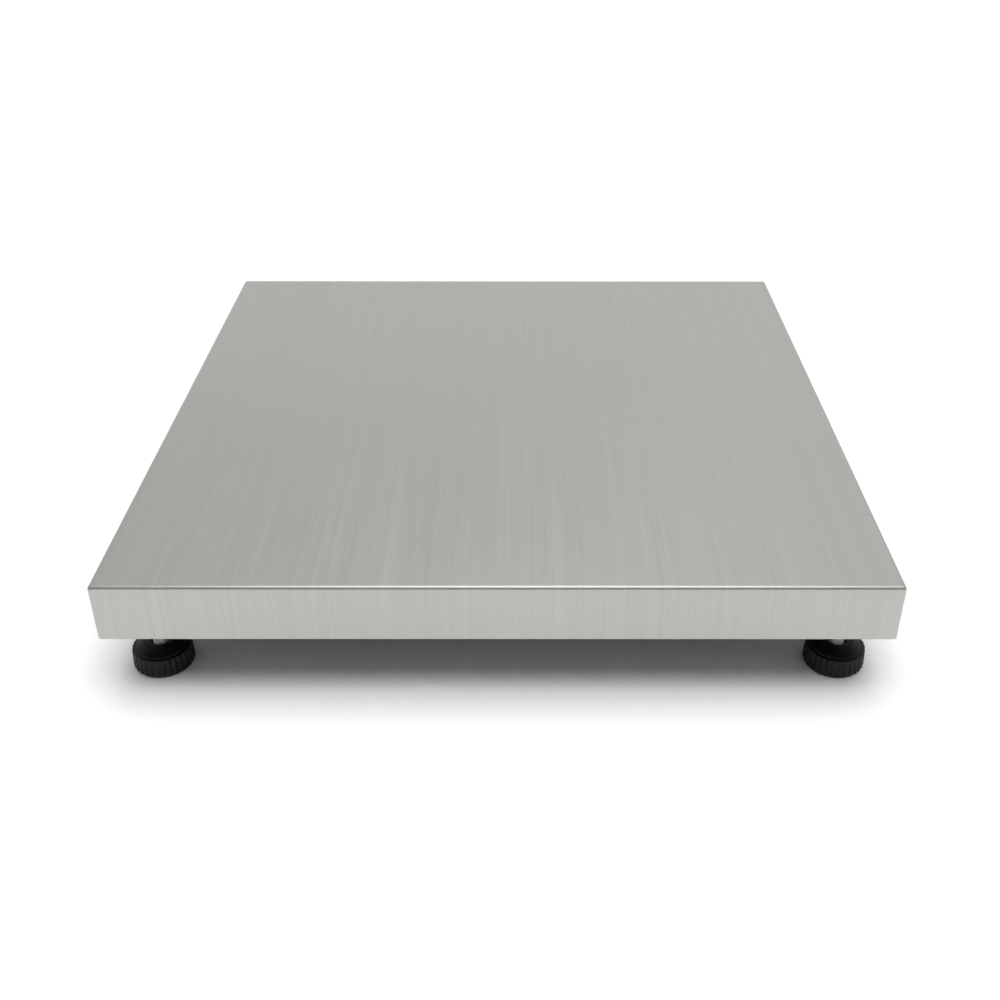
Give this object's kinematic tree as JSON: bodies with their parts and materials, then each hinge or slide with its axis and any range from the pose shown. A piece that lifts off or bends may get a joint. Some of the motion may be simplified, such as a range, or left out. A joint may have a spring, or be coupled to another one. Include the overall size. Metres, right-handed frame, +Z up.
{
  "type": "platform shipping scale",
  "caption": "Low square platform scale: a lift-off brushed steel pan on a steel frame carried by a load cell, with a base frame on fluted levelling feet.",
  "frame": {"origin": "on the floor, under the middle of the pan", "axes": "+X to the right, +Y to the rear, +Z up; the load cell lies along X"},
  "size_m": [0.5, 0.5, 0.082],
  "materials": {
    "brushed_stainless": "brushed front to back, satin",
    "painted_steel": "fine-textured powder coat",
    "zinc_steel": "bright zinc plate, satin",
    "cell_aluminium": "machined, anodised clear",
    "silicone": "smooth potting",
    "black_plastic": "moulded, satin",
    "black_rubber": "matt",
    "lead_jacket": "smooth PVC",
    "level_glass": "clear acrylic with tinted liquid",
    "nickel": "nickel plate"
  },
  "bodies": {
    "base": {"base_rail_left": "painted_steel", "base_rail_right": "painted_steel", "base_cross_front": "painted_steel", "base_cross_rear": "painted_steel", "base_cell_plate": "painted_steel", "level_tab": "painted_steel", "socket_tab": "painted_steel", "cell_spacer_fixed": "zinc_steel", "fixed_bolt_front_left": "zinc_steel", "fixed_bolt_front_right": "zinc_steel", "fixed_bolt_rear_left": "zinc_steel", "fixed_bolt_rear_right": "zinc_steel", "overload_stop_front_left": "zinc_steel", "overload_stop_front_right": "zinc_steel", "overload_stop_rear_left": "zinc_steel", "overload_stop_rear_right": "zinc_steel", "overload_nut_front_left": "zinc_steel", "overload_nut_front_right": "zinc_steel", "overload_nut_rear_left": "zinc_steel", "overload_nut_rear_right": "zinc_steel", "foot_lock_nut_front_left": "zinc_steel", "foot_lock_nut_front_right": "zinc_steel", "foot_lock_nut_rear_left": "zinc_steel", "foot_lock_nut_rear_right": "zinc_steel", "load_cell": "cell_aluminium", "gauge_seal": "silicone", "lead_clip_cross": "black_plastic", "lead_clip_rail": "black_plastic", "load_cell_lead": "lead_jacket", "level_lens": "level_glass", "level_cup": "nickel", "signal_socket": "nickel", "socket_nut": "nickel"},
    "platform": {"platform_rail_left": "painted_steel", "platform_rail_right": "painted_steel", "platform_cross_front": "painted_steel", "platform_cross_rear": "painted_steel", "platform_cell_plate": "painted_steel", "cell_spacer_live": "zinc_steel", "live_bolt_front_left": "zinc_steel", "live_bolt_front_right": "zinc_steel", "live_bolt_rear_left": "zinc_steel", "live_bolt_rear_right": "zinc_steel", "pan_pad_front_left": "black_rubber", "pan_pad_front_right": "black_rubber", "pan_pad_rear_left": "black_rubber", "pan_pad_rear_right": "black_rubber"},
    "pan": {"pan": "brushed_stainless"},
    "foot_sole_front_left": {"foot_sole_front_left": "black_rubber"},
    "foot_front_left": {"foot_front_left": "black_plastic", "foot_stud_front_left": "zinc_steel"},
    "foot_sole_front_right": {"foot_sole_front_right": "black_rubber"},
    "foot_front_right": {"foot_front_right": "black_plastic", "foot_stud_front_right": "zinc_steel"},
    "foot_sole_rear_left": {"foot_sole_rear_left": "black_rubber"},
    "foot_rear_left": {"foot_rear_left": "black_plastic", "foot_stud_rear_left": "zinc_steel"},
    "foot_sole_rear_right": {"foot_sole_rear_right": "black_rubber"},
    "foot_rear_right": {"foot_rear_right": "black_plastic", "foot_stud_rear_right": "zinc_steel"}
  },
  "joints": [
    {"name": "weigh_travel", "type": "slide", "parent": "base", "child": "platform", "axis": [0, 0, 1], "range_m": [-0.0005, 0], "stiffness_N_per_m": 3700000, "deforming": ["load_cell"]},
    {"name": "pan_lift", "type": "slide", "parent": "platform", "child": "pan", "axis": [0, 0, 1], "range_m": [0, 0.12]},
    {"name": "foot_front_left_height", "type": "slide", "parent": "base", "child": "foot_sole_front_left", "axis": [0, 0, 1], "range_m": [-0.01, 0.007]},
    {"name": "foot_front_left_turn", "type": "hinge", "parent": "foot_sole_front_left", "child": "foot_front_left", "pos_m": [-0.222, -0.2195, 0], "axis": [0, 0, 1], "range_deg": [-2400, 1680]},
    {"name": "foot_front_right_height", "type": "slide", "parent": "base", "child": "foot_sole_front_right", "axis": [0, 0, 1], "range_m": [-0.01, 0.007]},
    {"name": "foot_front_right_turn", "type": "hinge", "parent": "foot_sole_front_right", "child": "foot_front_right", "pos_m": [0.222, -0.2195, 0], "axis": [0, 0, 1], "range_deg": [-2400, 1680]},
    {"name": "foot_rear_left_height", "type": "slide", "parent": "base", "child": "foot_sole_rear_left", "axis": [0, 0, 1], "range_m": [-0.01, 0.007]},
    {"name": "foot_rear_left_turn", "type": "hinge", "parent": "foot_sole_rear_left", "child": "foot_rear_left", "pos_m": [-0.222, 0.2195, 0], "axis": [0, 0, 1], "range_deg": [-2400, 1680]},
    {"name": "foot_rear_right_height", "type": "slide", "parent": "base", "child": "foot_sole_rear_right", "axis": [0, 0, 1], "range_m": [-0.01, 0.007]},
    {"name": "foot_rear_right_turn", "type": "hinge", "parent": "foot_sole_rear_right", "child": "foot_rear_right", "pos_m": [0.222, 0.2195, 0], "axis": [0, 0, 1], "range_deg": [-2400, 1680]}
  ],
  "couplings": [
    {"joint": "foot_front_left_turn", "follows": "foot_front_left_height", "rad_per_m": 4188.8},
    {"joint": "foot_front_right_turn", "follows": "foot_front_right_height", "rad_per_m": 4188.8},
    {"joint": "foot_rear_left_turn", "follows": "foot_rear_left_height", "rad_per_m": 4188.8},
    {"joint": "foot_rear_right_turn", "follows": "foot_rear_right_height", "rad_per_m": 4188.8}
  ]
}
